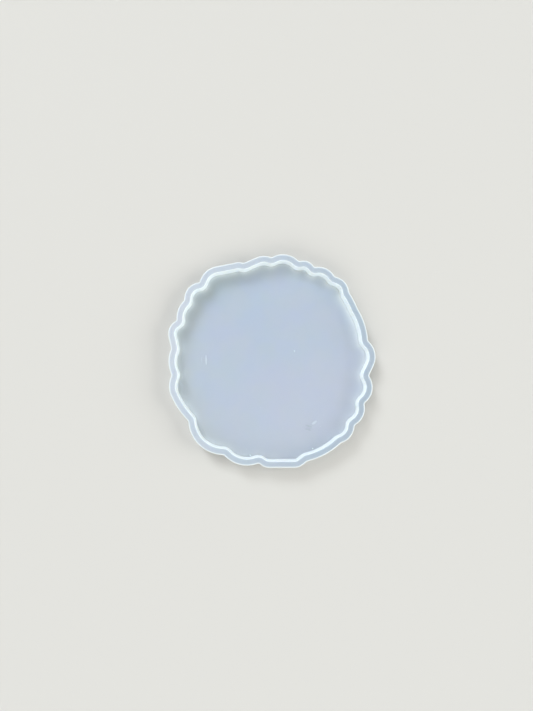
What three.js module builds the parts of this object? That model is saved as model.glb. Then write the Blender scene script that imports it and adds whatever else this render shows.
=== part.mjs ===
// A silicone casting mould for one wavy-edged coaster, in millimetres, +Z up.
// The mould is one moulding: an open tray with a thin floor and a raised rim whose outline is a ring of uneven
// waves. The origin is on the underside, at the middle of the outline.
import * as THREE from "three";

// Heights
const HEIGHT = 10; // underside to the top of the rim
const FLOOR = 2; // thickness of the sheet under the cavity

// Widths, measured inwards from the outermost edge
const RIM_TOP = 3.9; // outermost edge to the inner edge of the flat land
const EDGE = 0.5; // rounding along the edges of the land
const DRAFT = 0.5; // lean of the cavity wall, so that a casting lets go
const FILLET = 0.6; // rounding where the cavity wall meets the floor
const FOOT = 0.4; // rounding along the underside

// The outline, clockwise from the top. It is a chain of arcs, each given by the point it ends on and by how far
// its middle stands proud of its chord. Most arcs are one wave and meet in a notch; an uneven wave has two.
const START = [-0.3, 69.6];
const WAVES = [
  { end: [18.5, 67], rise: 3.5 },
  { end: [29, 63], rise: 2.2 },
  { end: [42.8, 56.7], rise: 2.7 },
  { end: [52.5, 46.2], rise: 2.6 },
  { end: [58.7, 34.3], rise: 0.3 },
  { end: [65.2, 13], rise: 1.4 },
  { end: [69.5, -2.5], rise: 2.5 },
  { end: [65.6, -10.8], rise: 0 },
  { end: [62.2, -29.3], rise: 4 },
  { end: [55.5, -44], rise: 2.9 },
  { end: [46.3, -55.8], rise: 2.5 },
  { end: [23.6, -67.8], rise: 1.7 },
  { end: [19.3, -71], rise: 0 },
  { end: [15, -72], rise: 0.3 },
  { end: [-2, -72], rise: 0 },
  { end: [-6.3, -70.8], rise: 0.3 },
  { end: [-9, -69], rise: 0 },
  { end: [-32, -63.4], rise: 3.8 },
  { end: [-55.8, -41], rise: 6.5 },
  { end: [-68, -22.8], rise: 1 },
  { end: [-67.1, -10.3], rise: 1.1 },
  { end: [-67.6, 7.2], rise: 1.9 },
  { end: [-69.6, 16], rise: 0 },
  { end: [-64.1, 26.3], rise: 1.9 },
  { end: [-59, 40], rise: 1.8 },
  { end: [-48.9, 52.2], rise: 3.4 },
  { end: [-38.5, 63], rise: 2.2 },
  { end: [-25.2, 65.8], rise: 0 },
  { end: [-19.4, 65.6], rise: 0.55 },
  { end: [-11, 69.3], rise: 0 },
  { end: START, rise: 1.2 },
];

// How finely the outline is drawn
const FINE_STEP = 0.1; // spacing of the points that the arcs are first laid out with
const NOTCH_BLUR = 0.6; // half the length over which a notch is rounded, in each of two passes
const SIDES = 240; // points round the finished outline
const LONGEST_SIDE = 4; // a side this long costs as much as a turn of SHARPEST_TURN
const SHARPEST_TURN = 12 * THREE.MathUtils.DEG2RAD;

// Points along one arc from a point to wave.end, without its last point.
function arcPoints(from, wave) {
  const a = new THREE.Vector2(...from);
  const b = new THREE.Vector2(...wave.end);
  const chord = b.clone().sub(a);
  const length = chord.length();
  const outward = new THREE.Vector2(-chord.y, chord.x).normalize();
  const count = Math.ceil(length / FINE_STEP);
  const points = [];
  for (let i = 0; i < count; i++) {
    const t = i / count;
    const p = a.clone().lerp(b, t);
    if (wave.rise > 0) {
      const radius = (length * length) / (8 * wave.rise) + wave.rise / 2;
      const along = (t - 0.5) * length;
      const height = Math.sqrt(radius * radius - along * along) - (radius - wave.rise);
      p.addScaledVector(outward, height);
    }
    points.push(p);
  }
  return points;
}

// Each point of a closed chain replaced by the mean of its neighbours, which rounds its corners.
function blurred(points) {
  const reach = Math.round(NOTCH_BLUR / FINE_STEP);
  return points.map((_, i) => {
    const mean = new THREE.Vector2();
    for (let k = -reach; k <= reach; k++) {
      mean.add(points.at((i + k) % points.length));
    }
    return mean.divideScalar(2 * reach + 1);
  });
}

// The outline as SIDES points { at, inward }, closest together where it turns the most, about its own middle.
function outline() {
  const starts = [START, ...WAVES.map((wave) => wave.end)];
  const sharp = WAVES.flatMap((wave, i) => arcPoints(starts[i], wave));
  const smooth = blurred(blurred(sharp));
  const middle = new THREE.Box2().setFromPoints(smooth).getCenter(new THREE.Vector2());
  const count = smooth.length;
  const heading = (i) => smooth[(i + 1) % count].clone().sub(smooth.at(i - 1)).normalize();
  const cost = smooth.map((_, i) => {
    const turn = Math.acos(Math.min(1, heading(i).dot(heading((i + 1) % count))));
    return FINE_STEP / LONGEST_SIDE + turn / SHARPEST_TURN;
  });
  const total = cost.reduce((sum, c) => sum + c, 0);
  const chosen = [];
  let spent = 0;
  smooth.forEach((p, i) => {
    if (spent >= (chosen.length * total) / SIDES && chosen.length < SIDES) {
      const along = heading(i);
      chosen.push({ at: p.clone().sub(middle), inward: new THREE.Vector2(along.y, -along.x) });
    }
    spent += cost[i];
  });
  return chosen;
}

const OUTLINE = outline();

// The outline moved inwards by inset, parallel to itself.
function ring(inset) {
  return OUTLINE.map(({ at, inward }) => at.clone().addScaledVector(inward, inset));
}

// A closed band whose cross-section is the loop of [inset, z] corners, listed from the outer foot upwards.
function band(section) {
  const rings = section.map(([inset, z]) => ring(inset).map((p) => [p.x, p.y, z]));
  const index = [];
  for (let j = 0; j < section.length; j++) {
    const lower = j * SIDES;
    const upper = ((j + 1) % section.length) * SIDES;
    for (let i = 0; i < SIDES; i++) {
      const next = (i + 1) % SIDES;
      index.push(lower + i, upper + i, upper + next);
      index.push(lower + i, upper + next, lower + next);
    }
  }
  const geometry = new THREE.BufferGeometry();
  geometry.setAttribute("position", new THREE.Float32BufferAttribute(rings.flat(2), 3));
  geometry.setIndex(index);
  geometry.computeVertexNormals();
  return geometry;
}

// Insets of the cavity, from the edge of the land to where the flat floor starts
const LIP = RIM_TOP + EDGE;
const WALL_FOOT = LIP + DRAFT;
const FLOOR_EDGE = WALL_FOOT + FILLET;

// The raised wall all round, with its share of the underside.
function rimWall() {
  return band([
    [FOOT, 0],
    [0, FOOT],
    [0, HEIGHT - EDGE],
    [EDGE, HEIGHT],
    [RIM_TOP, HEIGHT],
    [LIP, HEIGHT - EDGE],
    [WALL_FOOT, FLOOR + FILLET],
    [FLOOR_EDGE, FLOOR],
    [FLOOR_EDGE, 0],
  ]);
}

// The flat sheet inside the wall, which meets it face to face.
function cavityFloor() {
  const sheet = new THREE.Shape(ring(FLOOR_EDGE));
  return new THREE.ExtrudeGeometry(sheet, { depth: FLOOR, bevelEnabled: false });
}

// Soft, translucent white silicone: satin on the wall, glossier in the cavity.
function silicone(colour, roughness) {
  return new THREE.MeshStandardMaterial({ color: colour, roughness, metalness: 0 });
}

function piece(name, geometry, material) {
  const mesh = new THREE.Mesh(geometry, material);
  mesh.name = name;
  return mesh;
}

const mould = new THREE.Group();
mould.add(piece("rim_wall", rimWall(), silicone(0xdde4ee, 0.45)));
mould.add(piece("cavity_floor", cavityFloor(), silicone(0xccd6e2, 0.3)));

export default mould;
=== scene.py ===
"""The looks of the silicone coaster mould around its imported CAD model. Metres, +Z up."""

import math

import bpy
import numpy as np
from mathutils import Matrix, Vector


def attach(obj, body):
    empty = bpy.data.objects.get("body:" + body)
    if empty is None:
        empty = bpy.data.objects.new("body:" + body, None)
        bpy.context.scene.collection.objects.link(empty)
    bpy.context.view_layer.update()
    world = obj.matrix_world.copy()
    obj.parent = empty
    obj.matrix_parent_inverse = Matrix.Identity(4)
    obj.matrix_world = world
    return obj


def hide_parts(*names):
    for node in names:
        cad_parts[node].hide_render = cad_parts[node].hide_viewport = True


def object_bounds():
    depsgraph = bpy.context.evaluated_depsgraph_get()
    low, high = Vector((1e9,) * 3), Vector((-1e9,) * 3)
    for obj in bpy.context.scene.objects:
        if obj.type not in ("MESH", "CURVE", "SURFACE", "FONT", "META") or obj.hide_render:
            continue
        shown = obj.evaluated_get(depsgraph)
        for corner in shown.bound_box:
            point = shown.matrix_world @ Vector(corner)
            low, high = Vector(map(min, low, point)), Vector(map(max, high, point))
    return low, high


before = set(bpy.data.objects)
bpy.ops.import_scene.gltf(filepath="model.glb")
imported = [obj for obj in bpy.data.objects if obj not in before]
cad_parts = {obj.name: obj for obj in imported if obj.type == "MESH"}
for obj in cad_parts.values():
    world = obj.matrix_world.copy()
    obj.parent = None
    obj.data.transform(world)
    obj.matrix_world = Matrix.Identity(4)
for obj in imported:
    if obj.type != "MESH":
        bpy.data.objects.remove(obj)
CAD_LOW, CAD_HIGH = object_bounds()

MM = 0.001
MIDDLE = (CAD_LOW + CAD_HIGH) / 2
WIDTH = CAD_HIGH.x - CAD_LOW.x


# ---------------------------------------------------------------- what the CAD wall says

SAME_HEIGHT = 0.01 * MM  # how far apart two heights may be and still count as one


def corners(node):
    """The node's different vertices, as rows of x, y, z."""
    points = np.array([v.co for v in node.data.vertices])
    return np.unique(points.round(7), axis=0)


def ring_at(points, height):
    """The points at a height where there is one ring, anticlockwise round the middle."""
    ring = points[np.abs(points[:, 2] - height) < SAME_HEIGHT][:, :2]
    angle = np.arctan2(ring[:, 1] - MIDDLE.y, ring[:, 0] - MIDDLE.x)
    return ring[np.argsort(angle)]


def spline_loop(points, per_side):
    """Points and unit inward normals on the smooth closed curve through points, per_side to each side.

    It is a closed cubic spline over the lengths of the sides; bend is its second derivative at each point.
    """
    count = len(points)
    after = np.roll(points, -1, axis=0)
    side = np.linalg.norm(after - points, axis=1)
    slope = (after - points) / side[:, None]
    here = np.arange(count)
    system = np.zeros((count, count))
    system[here, here] = 2 * (side + np.roll(side, 1))
    system[here, (here + 1) % count] = side
    system[here, here - 1] = np.roll(side, 1)
    bend = np.linalg.solve(system, 6 * (slope - np.roll(slope, 1, axis=0)))
    bend_after = np.roll(bend, -1, axis=0)
    places, tangents = [], []
    for step in range(per_side):
        u = step / per_side
        w = 1 - u
        sag = ((w ** 3 - w) * bend + (u ** 3 - u) * bend_after) / 6
        turn = ((1 - 3 * w ** 2) * bend + (3 * u ** 2 - 1) * bend_after) / 6
        places.append(w * points + u * after + side[:, None] ** 2 * sag)
        tangents.append(slope + side[:, None] * turn)
    place = np.stack(places, axis=1).reshape(-1, 2)
    tangent = np.stack(tangents, axis=1).reshape(-1, 2)
    for _ in range(2):  # smooths the directions a little, so that the inner rings run evenly
        tangent = (np.roll(tangent, 1, axis=0) + 2 * tangent + np.roll(tangent, -1, axis=0)) / 4
    tangent /= np.linalg.norm(tangent, axis=1)[:, None]
    return place, np.stack([-tangent[:, 1], tangent[:, 0]], axis=1)


WALL = corners(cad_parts["rim_wall"])
UNDERSIDE, FOOT_TOP, FLOOR_TOP, FILLET_TOP, LIP_FOOT, LAND_TOP = np.unique(WALL[:, 2].round(5))
EDGE, INWARD = spline_loop(ring_at(WALL, FOOT_TOP), per_side=4)


def insets_at(height):
    """How far inside the outer edge the wall's corners at this height lie, smallest first."""
    ring = WALL[np.abs(WALL[:, 2] - height) < SAME_HEIGHT][:, :2]
    gaps = np.linalg.norm(ring[:, None] - EDGE[None], axis=2).min(axis=1)
    return sorted(set(gaps.round(4)))


FOOT = insets_at(UNDERSIDE)[0]
LAND_START, LAND_END = insets_at(LAND_TOP)
LIP = insets_at(LIP_FOOT)[-1]
WALL_FOOT = insets_at(FILLET_TOP)[0]
FLOOR_EDGE = insets_at(FLOOR_TOP)[0]


# ---------------------------------------------------------------- the moulding

def ripple(points, wavelength, seed, waves=9):
    """A smooth random height from -1 to 1 at each point, with features about a wavelength across."""
    random = np.random.default_rng(seed)
    total = np.zeros(len(points))
    for _ in range(waves):
        heading = random.uniform(0, 2 * math.pi)
        pace = 2 * math.pi / (wavelength * random.uniform(0.7, 1.6))
        along = points @ np.array([math.cos(heading), math.sin(heading)])
        total += np.sin(pace * along + random.uniform(0, 2 * math.pi))
    return total / math.sqrt(waves) / 2


def arc(centre, radius, first, last, steps):
    """Points [inset, height] round part of a circle, with angles in degrees from inwards, up."""
    angles = np.radians(np.linspace(first, last, steps + 1))
    return [(centre[0] + radius * math.cos(a), centre[1] + radius * math.sin(a)) for a in angles]


def line(start, end, steps):
    """Points [inset, height] between two points, without either."""
    shares = [i / steps for i in range(1, steps)]
    return [tuple(np.array(start) * (1 - s) + np.array(end) * s) for s in shares]


LAND_CROWN = 0.06 * MM  # how much higher the land is in its middle than at its edges


def land(steps):
    """The slightly crowned land across the top of the rim, without its ends."""
    shares = [i / steps for i in range(1, steps)]
    return [
        (LAND_START * (1 - s) + LAND_END * s, LAND_TOP - LAND_CROWN * (2 * s - 1) ** 2)
        for s in shares
    ]


def section():
    """The wall's cross-section as (inset, height), from the underside round to the cavity floor."""
    edge = LAND_START
    lip = LIP - LAND_END
    shoulder = LAND_TOP - LAND_CROWN
    fillet = FILLET_TOP - FLOOR_TOP
    lean = math.degrees(math.atan2(WALL_FOOT - LIP, LIP_FOOT - FILLET_TOP))
    points = [(FLOOR_EDGE, UNDERSIDE)]
    points += line((FLOOR_EDGE, UNDERSIDE), (FOOT, UNDERSIDE), steps=6)
    points += arc((FOOT, FOOT_TOP), FOOT, -90, -180, steps=5)
    points += line((0, FOOT_TOP), (0, shoulder - edge), steps=12)
    points += arc((edge, shoulder - edge), edge, 180, 90, steps=7)
    points += land(steps=12)
    points += arc((LAND_END, shoulder - lip), lip, 90, lean, steps=8)
    points += line((LIP, shoulder - lip), (WALL_FOOT, FILLET_TOP), steps=9)
    points += arc((WALL_FOOT + fillet, FILLET_TOP), fillet, 180 + lean, 270, steps=8)
    return points


# Of these, glow is painted glow on the walls and painted glints on the pale marks, and edge is a painted
# highlight along the outer edge
LOOKS = ("cavity", "painted_glow", "edge", "nearness")  # what the material reads at each vertex, from 0 to 1


class Surface:
    """A mesh made ring by ring, where each ring has as many points as the last or half as many."""

    def __init__(self):
        self.points = []
        self.faces = []
        self.looks = {name: [] for name in LOOKS}
        self.last = None
        self.flipped = False

    def add(self, ring, heights, look):
        """Adds a ring, and the faces that join it to the last one if there is one."""
        first = len(self.points)
        self.points += [(x, y, z) for (x, y), z in zip(ring, np.broadcast_to(heights, len(ring)))]
        for name in LOOKS:
            self.looks[name] += [look.get(name, 0.0)] * len(ring)
        here = list(range(first, first + len(ring)))
        if self.last is not None:
            self.join(self.last, here)
        self.last = here

    def join(self, old, new):
        """Adds the faces between two rings of vertices."""
        ratio = len(old) // len(new)
        for i, a in enumerate(new):
            b = new[(i + 1) % len(new)]
            row = [old[(i * ratio + k) % len(old)] for k in range(ratio + 1)]
            if ratio == 1:
                self.face(row[0], row[1], b, a)
            else:
                self.face(row[0], row[1], a)
                self.face(row[1], b, a)
                self.face(row[1], row[2], b)

    def face(self, *loop):
        """Adds a face, turned over if the surface is flipped."""
        self.faces.append(loop[::-1] if self.flipped else loop)

    def close(self, height):
        """Closes the last ring with a fan to its middle."""
        tip = len(self.points)
        middle = np.mean([self.points[i] for i in self.last], axis=0)
        self.points.append((middle[0], middle[1], height))
        for name in LOOKS:
            self.looks[name].append(self.looks[name][-1])
        for i, a in enumerate(self.last):
            self.face(a, self.last[(i + 1) % len(self.last)], tip)

    def begin(self, ring, flipped=False):
        """Makes the next ring join this list of vertices, or none, with faces turned over if flipped."""
        self.last = ring
        self.flipped = flipped

    def mesh_object(self, name):
        """The surface as a Blender object, with its looks as attributes of its vertices."""
        mesh = bpy.data.meshes.new(name)
        mesh.from_pydata([tuple(p) for p in self.points], [], self.faces)
        for label, values in self.looks.items():
            mesh.attributes.new(label, "FLOAT", "POINT").data.foreach_set("value", values)
        mesh.shade_smooth()
        piece = bpy.data.objects.new(name, mesh)
        bpy.context.scene.collection.objects.link(piece)
        return piece


def rise(value, start, end):
    """0 before start, 1 after end, and a smooth step between them."""
    t = min(1.0, max(0.0, (value - start) / (end - start)))
    return t * t * (3 - 2 * t)


OUTER_WALL_PAINTED_GLOW = 0.35  # how much painted glow the outer wall has, beside 1 for the cavity wall
WALL_PALES = (FLOOR_TOP + 0.2 * MM, FILLET_TOP + 0.5 * MM)  # the painted glow of the cavity wall rises between these heights
EDGE_LINE = 1.1 * MM  # width of the painted highlight along the land's outer edge
EDGE_LINE_CORE = 0.2 * EDGE_LINE  # the part of that width where it is palest
EDGE_BAND = 2.5 * MM  # how far down the outer wall that painted highlight fades out


def look_at(inset, height):
    """How the skin looks at a place on the section: painted glow, palest on the lip and the cavity wall, and
    a painted highlight along the outer edge.
    """
    if inset > LAND_END and height > UNDERSIDE:
        # painted glow on the cavity wall above its fillet, fading in across the lip
        return {
            "cavity": rise(inset, LAND_END, LIP),
            "painted_glow": rise(inset, LAND_END, LIP) * rise(height, *WALL_PALES),
            "nearness": 1.0,
        }
    if height > LAND_TOP - EDGE_BAND:
        # a painted highlight along the outer edge and the top of the outer wall, with some painted glow
        outer = 1 - rise(inset, EDGE_LINE_CORE, EDGE_LINE)
        top = rise(height, LAND_TOP - EDGE_BAND, LAND_TOP - LAND_START)
        return {"painted_glow": OUTER_WALL_PAINTED_GLOW * outer, "edge": outer * top}
    # painted glow on the outer wall, fading out towards the underside, so that its foot reads as painted
    # shade
    return {"painted_glow": OUTER_WALL_PAINTED_GLOW * rise(height, UNDERSIDE, FOOT_TOP)}


SHEET_RINGS = 34  # rings from the foot of the wall to the middle of the floor
COARSER_AT = (6, 14, 22, 28)  # the rings at which the number of points is halved
NEAR_REACH = 8 * MM  # distance from the wall over which nearness falls to 1/e
UNDULATION = 0.09 * MM  # height of the cavity floor's swells
UNDULATION_LENGTH = 34 * MM
SWELL_ONSET = 1 / 3  # share of the radius over which the swells grow to their full height from the edge
WARP = 0.12 * MM  # unevenness of the top of the rim
WARP_LENGTH = 60 * MM


def sheet(surface, edge, height, swell, cavity):
    """Covers the space inside the edge ring with a sheet that swells and dips gently."""
    centre = edge.mean(axis=0)
    radius = np.linalg.norm(edge - centre, axis=1).mean()
    ring = edge
    for step in range(1, SHEET_RINGS):
        if step in COARSER_AT:
            ring = ring[::2]
        share = 1 - step / SHEET_RINGS
        spots = centre + (ring - centre) * share
        grown = swell * min(1, (1 - share) / SWELL_ONSET)
        near = cavity * math.exp(-(1 - share) * radius / NEAR_REACH)
        heights = height + grown * ripple(spots, UNDULATION_LENGTH, seed=11)
        surface.add(spots, heights, {"cavity": cavity, "nearness": near})
    surface.close(height)


def build_skin():
    """The whole moulding as one seamless closed mesh."""
    surface = Surface()
    profile = section()
    for inset, height in profile:
        ring = EDGE + inset * INWARD
        lift = WARP * (height - UNDERSIDE) / (LAND_TOP - UNDERSIDE)
        heights = height + lift * ripple(ring, WARP_LENGTH, seed=4)
        surface.add(ring, heights, look_at(inset, height))
    sheet(surface, EDGE + profile[-1][0] * INWARD, FLOOR_TOP, UNDULATION, cavity=1.0)
    surface.begin(list(range(len(EDGE))), flipped=True)
    sheet(surface, EDGE + profile[0][0] * INWARD, UNDERSIDE, 0.0, cavity=0.0)
    return surface


MARK_SIDES = 20
MARK_RINGS = 4
MARK_ROOT = 0.3 * MM  # how deep each mark is rooted in the floor

# Small marks on the cavity floor: place, length, width and height in millimetres, turn in degrees,
# and paleness from -1, dark as the land, to 1, pale as the wall's painted glow; that paleness is partly the
# marks' own tone and partly painted glint
MARKS = [
    ((15.4, 6.3), 1.6, 1.2, 0.25, 90, 0.30),  # a speck
    ((-45.1, 0.2), 7.0, 1.2, 0.22, 92, 0.22),  # a pair of upright streaks
    ((-48.1, 0.0), 5.0, 0.9, 0.15, 90, 0.08),
    ((29.1, -42.6), 4.0, 1.9, 0.22, 35, 0.22),  # a smear, with two ripples beside it
    ((25.2, -45.0), 4.6, 0.9, 0.20, -18, -1.0),
    ((24.7, -47.4), 4.2, 0.8, 0.20, -18, -0.8),
    ((-14.8, -64.5), 1.1, 1.0, 0.8, 0, 0.9),  # two nubs at the foot of the wall, painted bright as glints
    ((27.8, -60.2), 1.1, 1.0, 0.8, 0, 0.9),
]


def build_marks():
    """Low smooth domes, each rooted a little way into the floor."""
    surface = Surface()
    turns = np.linspace(0, 2 * math.pi, MARK_SIDES, endpoint=False)
    for place, length, width, height, turn, paleness in MARKS:
        a = math.radians(turn)
        along = np.array([math.cos(a), math.sin(a)]) * length * MM / 2
        across = np.array([-math.sin(a), math.cos(a)]) * width * MM / 2
        outline = np.cos(turns)[:, None] * along + np.sin(turns)[:, None] * across
        middle = np.array(place) * MM
        # pale marks take the wall's painted glow, standing in for glints
        look = {"cavity": min(1.0, 1.0 + paleness), "painted_glow": max(0.0, paleness)}
        first = len(surface.points)
        surface.begin(None)
        surface.add(middle + outline, FLOOR_TOP - MARK_ROOT, look)
        for step in range(MARK_RINGS):
            climb = math.radians(90) * step / MARK_RINGS
            top = FLOOR_TOP + height * MM * math.sin(climb)
            surface.add(middle + outline * math.cos(climb), top, look)
        surface.close(FLOOR_TOP + height * MM)
        surface.begin(list(range(first, first + MARK_SIDES)), flipped=True)
        surface.close(FLOOR_TOP - MARK_ROOT)
    return surface


# ---------------------------------------------------------------- materials

class Nodes:
    """Short calls for building one material's nodes."""

    def __init__(self, name):
        self.material = bpy.data.materials.new(name)
        self.material.use_nodes = True
        self.tree = self.material.node_tree
        self.shader = self.tree.nodes["Principled BSDF"]

    def put(self, kind, inputs=None, **settings):
        """A new node with its settings, and its inputs given as values or as outputs to link."""
        made = self.tree.nodes.new(kind)
        for key, value in settings.items():
            setattr(made, key, value)
        for key, value in (inputs or {}).items():
            self.feed(made.inputs[key], value)
        return made

    def feed(self, socket, value):
        """Links an output to the socket, or sets the socket to a plain value."""
        if isinstance(value, bpy.types.NodeSocket):
            self.tree.links.new(value, socket)
        else:
            socket.default_value = value

    def set(self, name, value):
        """Sets or links one of the shader's inputs."""
        self.feed(self.shader.inputs[name], value)

    def attribute(self, name):
        """One of the looks stored at the vertices."""
        return self.put("ShaderNodeAttribute", attribute_name=name).outputs["Fac"]

    def moved(self, place, distance):
        """The same coordinates, distance metres away, for a pattern that is independent of the first."""
        return self.put("ShaderNodeVectorMath", {0: place, 1: (distance, 0, 0)}).outputs[0]

    def stretched(self, place, factor):
        """Coordinates in which a pattern is drawn out by factor along +Y, a little askew."""
        inputs = {"Vector": place, "Rotation": (0, 0, 0.5), "Scale": (1, 1 / factor, 1)}
        return self.put("ShaderNodeMapping", inputs).outputs[0]

    def towards(self, place, side):
        """How far towards a side of the mould each place lies: 1 on that side, 0 on the opposite one."""
        made = self.put("ShaderNodeVectorMath", {0: place, 1: side}, operation="DOT_PRODUCT")
        return self.span(made.outputs["Value"], -WIDTH / 2, WIDTH / 2, smooth=False)

    def math(self, operation, *values):
        """The result of a Math node."""
        made = self.tree.nodes.new("ShaderNodeMath")
        made.operation = operation
        for socket, value in zip(made.inputs, values):
            self.feed(socket, value)
        return made.outputs[0]

    def times(self, a, b):
        return self.math("MULTIPLY", a, b)

    def plus(self, a, b):
        return self.math("ADD", a, b)

    def power(self, base, exponent):
        return self.math("POWER", base, exponent)

    def mix(self, share, a, b):
        """Colour a where share is 0, b where it is 1."""
        made = self.put("ShaderNodeMix", data_type="RGBA")
        self.feed(made.inputs[0], share)
        self.feed(made.inputs[6], a)
        self.feed(made.inputs[7], b)
        return made.outputs[2]

    def span(self, value, low, high, smooth=True):
        """The value's place between low, which gives 0, and high, which gives 1."""
        return self.put(
            "ShaderNodeMapRange",
            {"Value": value, "From Min": low, "From Max": high},
            interpolation_type="SMOOTHSTEP" if smooth else "LINEAR",
        ).outputs[0]

    def blend(self, share, a, b):
        """Number a where share is 0, b where it is 1."""
        return self.put("ShaderNodeMapRange", {"Value": share, "To Min": a, "To Max": b}).outputs[0]

    def noise(self, place, size, detail=2.0, roughness=0.5):
        """Soft random blotches about size metres across, from 0 to 1."""
        return self.put(
            "ShaderNodeTexNoise",
            {"Vector": place, "Scale": 1 / size, "Detail": detail, "Roughness": roughness},
        ).outputs[0]


# Sides of the mould, as directions from its middle
LIT_LAND_SIDE = (-0.97, 0.24, 0)  # where the land is palest, as painted light
SHADE_SIDE = (-0.99, 0.12, 0)  # where the floor has painted shade towards the wall
ROSY_SIDE = (0.50, -0.87, 0)  # where the floor is less blue

# Colours. A pair is the two ends of a faint haze.
PLAIN_LAND = (0.412, 0.484, 0.545, 1), (0.427, 0.484, 0.545, 1)
# the land on its painted-light side
PAINTED_LIT_LAND = (0.550, 0.590, 0.640, 1), (0.565, 0.590, 0.640, 1)
GREY_FLOOR = (0.447, 0.532, 0.604, 1), (0.477, 0.530, 0.614, 1)
BLUE_FLOOR = (0.442, 0.524, 0.634, 1), (0.464, 0.520, 0.634, 1)
ROSY_FLOOR = (0.560, 0.563, 0.648, 1)
PAINTED_SHADE_FLOOR = (0.485, 0.502, 0.502, 1)  # painted shade beside the left wall
PAINTED_SHADOW_FLOOR = (0.340, 0.357, 0.315, 1)  # painted shadow beside the back left wall
PAINTED_GLOW_FLOOR = (0.80, 0.85, 0.87, 1)  # painted glow at the foot of the wall, for the light it scatters into the floor
# painted glow of the lip, the walls and the pale marks
PAINTED_WALL_GLOW = (0.88, 0.975, 0.995, 1)
# painted highlight along the outer edge
PAINTED_EDGE_HIGHLIGHT = (0.72, 0.76, 0.76, 1)
DUST = (0.85, 0.87, 0.88, 1)

# Amounts of those tones, from 0 to about 1
ROSINESS = 0.6
# painted shade by the left wall: its gain and its most
PAINTED_SHADE_GAIN = 1.4
PAINTED_SHADE_MOST = 0.55
PAINTED_SHADOW_WHERE = (0.05, 0.30)  # painted shadow below the first share of rosiness, only the lighter painted shade above the second
# amounts of the painted glow on the floor by the wall
CLOSE_PALENESS = 0.66
RIGHT_PALENESS = (0.2, 1.6)  # at the front right and at the back right
LEFT_PALENESS = 0.2
ROSY_PALENESS = 0.12
DUST_PALENESS = 0.35

# Finish: roughness, and bumps as shares of GRAIN_DEPTH
OUTER_ROUGHNESS = 0.44
CAVITY_ROUGHNESS = 0.34
SMEAR_ROUGHNESS = 0.10
CAVITY_GRAIN = 0.15  # beside 1 outside the cavity
DUST_BUMP = 0.6
BUMP_STRENGTH = 0.35

# Sizes of the patterns
HAZE_SIZE = 38 * MM
TINT_SIZE = 16 * MM
SMEAR_SIZE = 4 * MM
GRAIN_SIZE = 0.3 * MM
DUST_SPACING = 7 * MM
DUST_RADIUS = 0.03  # of the spacing
GRAIN_DEPTH = 0.02 * MM
SCATTERING_DEPTH = 3.5 * MM


def land_colour(n, place, haze):
    """The rim and the outside: paler towards one side, as painted light."""
    return n.mix(n.towards(place, LIT_LAND_SIDE), n.mix(haze, *PLAIN_LAND), n.mix(haze, *PAINTED_LIT_LAND))


def painted_foot_glow(n, nearness, towards_shade, rosier):
    """How much painted glow the floor has by the wall, for the light the wall scatters into it: in a close
    strip, except at the front right, and in a wider one.
    """
    close = n.times(n.power(nearness, 4), n.blend(rosier, CLOSE_PALENESS, 0.0))
    right = n.power(n.blend(towards_shade, 1.0, 0.0), 3)
    back = n.power(n.blend(rosier, 1.0, 0.0), 2)
    wide = n.times(right, n.blend(back, *RIGHT_PALENESS))
    wide = n.plus(wide, n.times(n.power(towards_shade, 8), LEFT_PALENESS))
    wide = n.times(n.power(nearness, 2), wide)
    wide = n.plus(wide, n.times(nearness, n.blend(rosier, 0.0, ROSY_PALENESS)))
    return n.plus(close, wide)


def floor_colour(n, place, haze):
    """The cavity: bluish in blotches, rosier at the front right, with painted shade, a painted shadow and
    painted glow beside the wall.
    """
    nearness = n.attribute("nearness")
    towards_shade = n.towards(place, SHADE_SIDE)
    rosier = n.towards(place, ROSY_SIDE)
    bluer = n.span(n.noise(n.moved(place, 0.5), TINT_SIZE, detail=2), 0.35, 0.65)
    floor = n.mix(bluer, n.mix(haze, *GREY_FLOOR), n.mix(haze, *BLUE_FLOOR))
    floor = n.mix(n.times(rosier, ROSINESS), floor, ROSY_FLOOR)
    # painted shade along the left wall
    painted_shade = n.times(n.times(nearness, n.power(towards_shade, 2)), PAINTED_SHADE_GAIN)
    # painted shadow of the back left wall, turning into the lighter painted shade at the left
    painted_shade_colour = n.mix(n.span(rosier, *PAINTED_SHADOW_WHERE), PAINTED_SHADOW_FLOOR, PAINTED_SHADE_FLOOR)
    floor = n.mix(n.math("MINIMUM", painted_shade, PAINTED_SHADE_MOST), floor, painted_shade_colour)
    # painted glow on the floor by the wall
    return n.mix(painted_foot_glow(n, nearness, towards_shade, rosier), floor, PAINTED_GLOW_FLOOR)


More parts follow.
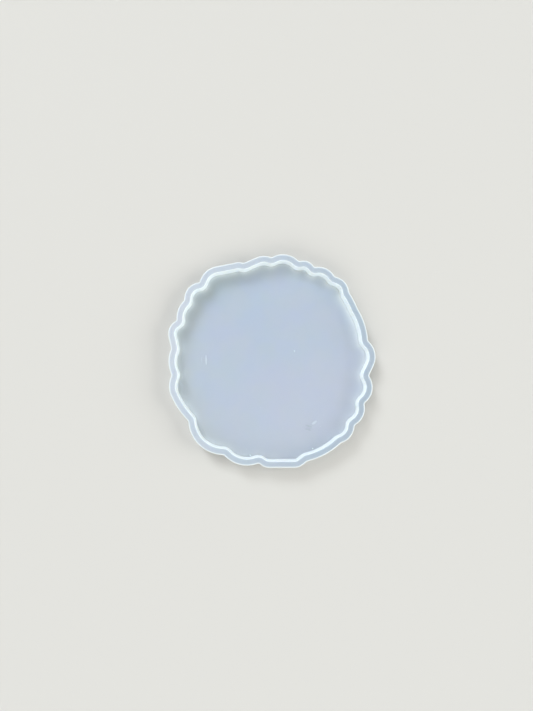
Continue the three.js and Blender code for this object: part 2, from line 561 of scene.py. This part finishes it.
def silicone(name, scattering):
    """Milky translucent silicone: satin, a little glossier in the cavity, with painted glow on the lip and
    walls and a painted highlight along the outer edge.
    """
    n = Nodes(name)
    place = n.put("ShaderNodeTexCoord").outputs["Object"]
    cavity = n.attribute("cavity")

    haze = n.span(n.noise(place, HAZE_SIZE, detail=3), 0.3, 0.7)  # with more contrast than the noise
    colour = n.mix(cavity, land_colour(n, place, haze), floor_colour(n, place, haze))
    # painted glow on the walls, and painted glints on the pale marks
    colour = n.mix(n.attribute("painted_glow"), colour, PAINTED_WALL_GLOW)
    # painted highlight along the outer edge
    colour = n.mix(n.attribute("edge"), colour, PAINTED_EDGE_HIGHLIGHT)
    cells = n.put("ShaderNodeTexVoronoi", {"Vector": place, "Scale": 1 / DUST_SPACING})
    dust = n.math("LESS_THAN", cells.outputs["Distance"], DUST_RADIUS)
    n.set("Base Color", n.mix(n.times(dust, DUST_PALENESS), colour, DUST))

    smear = n.noise(n.stretched(place, 6), SMEAR_SIZE, detail=4)
    polish = n.blend(cavity, OUTER_ROUGHNESS, CAVITY_ROUGHNESS)
    n.set("Roughness", n.plus(polish, n.times(smear, SMEAR_ROUGHNESS)))
    grain = n.noise(place, GRAIN_SIZE, detail=2)
    texture = n.times(grain, n.blend(cavity, 1.0, CAVITY_GRAIN))
    texture = n.plus(texture, n.times(dust, DUST_BUMP))
    depth = {"Strength": BUMP_STRENGTH, "Distance": GRAIN_DEPTH}
    bump = n.put("ShaderNodeBump", {"Height": texture, **depth})
    n.set("Normal", bump.outputs[0])

    n.set("IOR", 1.41)
    n.set("Specular IOR Level", 0.4)
    n.set("Subsurface Weight", scattering)
    n.set("Subsurface Radius", (1.0, 1.05, 1.15))
    n.set("Subsurface Scale", SCATTERING_DEPTH)
    return n.material


def pale_floor():
    """A plain, pale, matt floor."""
    n = Nodes("pale_floor")
    n.set("Base Color", (0.66, 0.63, 0.59, 1))
    n.set("Roughness", 0.8)
    return n.material


# ---------------------------------------------------------------- the studio

FLOOR_SIZE = 400 * WIDTH


def make_floor():
    """A plain floor wide enough to look endless."""
    bpy.ops.mesh.primitive_plane_add(size=FLOOR_SIZE, location=(MIDDLE.x, MIDDLE.y, CAD_LOW.z))
    floor = bpy.context.object
    floor.name = "studio_floor"
    floor.data.materials.append(pale_floor())


def soft_light(name, heading, height, spread, strength, colour):
    """A far light heading degrees anticlockwise from +X, height degrees up and spread degrees wide."""
    a, e = math.radians(heading), math.radians(height)
    towards = Vector((math.cos(a) * math.cos(e), math.sin(a) * math.cos(e), math.sin(e)))
    data = bpy.data.lights.new(name, "SUN")
    data.angle = math.radians(spread)
    data.energy = strength
    data.color = colour
    light = bpy.data.objects.new(name, data)
    light.rotation_euler = towards.to_track_quat("Z", "Y").to_euler()
    bpy.context.scene.collection.objects.link(light)


# The sky's colour by height, from 0 at the horizon to 1 overhead
HORIZON = (0.75, 0.72, 0.68, 1)
LOW_SKY = (0.66, 0.67, 0.67, 1)
HIGH_SKY = (0.26, 0.265, 0.27, 1)
LOW_SKY_AT = 0.12
HIGH_SKY_AT = 0.8


def make_world():
    """Soft light from all round, brightest near the horizon and dim overhead."""
    world = bpy.data.worlds.new("studio")
    world.use_nodes = True
    tree = world.node_tree
    background = tree.nodes["Background"]
    direction = tree.nodes.new("ShaderNodeTexCoord")
    parts = tree.nodes.new("ShaderNodeSeparateXYZ")
    ramp = tree.nodes.new("ShaderNodeValToRGB")
    tree.links.new(direction.outputs["Generated"], parts.inputs[0])
    tree.links.new(parts.outputs["Z"], ramp.inputs[0])
    tree.links.new(ramp.outputs[0], background.inputs["Color"])
    stops = ramp.color_ramp.elements
    stops[0].color = HORIZON
    stops[1].position = HIGH_SKY_AT
    stops[1].color = HIGH_SKY
    stops.new(LOW_SKY_AT).color = LOW_SKY
    bpy.context.scene.world = world


WINDOW_LIGHT = (0.86, 0.94, 1.0)
HIGH_LIGHT = (0.92, 0.96, 1.0)
FILL_LIGHT = (0.96, 1.0, 0.99)


def make_lights():
    """A cool window at the back left, and weaker or lower fills round the other sides."""
    soft_light("window", heading=123, height=35, spread=22, strength=1.5, colour=WINDOW_LIGHT)
    soft_light("window_high", heading=134, height=58, spread=24, strength=0.5, colour=HIGH_LIGHT)
    soft_light("fill_right", heading=0, height=28, spread=40, strength=1.5, colour=FILL_LIGHT)
    soft_light("fill_left", heading=235, height=37, spread=44, strength=0.85, colour=FILL_LIGHT)
    soft_light("fill_front", heading=285, height=30, spread=40, strength=0.45, colour=FILL_LIGHT)


CAMERA_SENSOR = 36  # along the picture's long side
CAMERA_LENS = 27.04
CAMERA_FROM = MIDDLE + Vector((-16.4, -16.5, 363.2)) * MM
CAMERA_TO = MIDDLE + Vector((-4.0, 2.9, 5)) * MM


def make_camera():
    """Looks almost straight down, with +Y up the picture."""
    data = bpy.data.cameras.new("camera")
    data.lens = CAMERA_LENS
    data.sensor_width = CAMERA_SENSOR
    camera = bpy.data.objects.new("camera", data)
    back = (CAMERA_FROM - CAMERA_TO).normalized()
    right = Vector((0, 1, 0)).cross(back).normalized()
    turn = Matrix((right, back.cross(right), back)).transposed()
    camera.matrix_world = Matrix.Translation(CAMERA_FROM) @ turn.to_4x4()
    bpy.context.scene.collection.objects.link(camera)
    bpy.context.scene.camera = camera


# ---------------------------------------------------------------- putting it together

make_camera()
make_floor()
make_world()
make_lights()
bpy.context.scene.view_settings.view_transform = "Standard"

skin = build_skin().mesh_object("silicone_mould")
skin.data.materials.append(silicone("milky_silicone", scattering=0.85))
marks = build_marks().mesh_object("surface_marks")  # too thin for scattering, which would darken them
marks.data.materials.append(silicone("scarred_silicone", scattering=0.0))
for piece in (skin, marks):
    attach(piece, "root")
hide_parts("rim_wall", "cavity_floor")
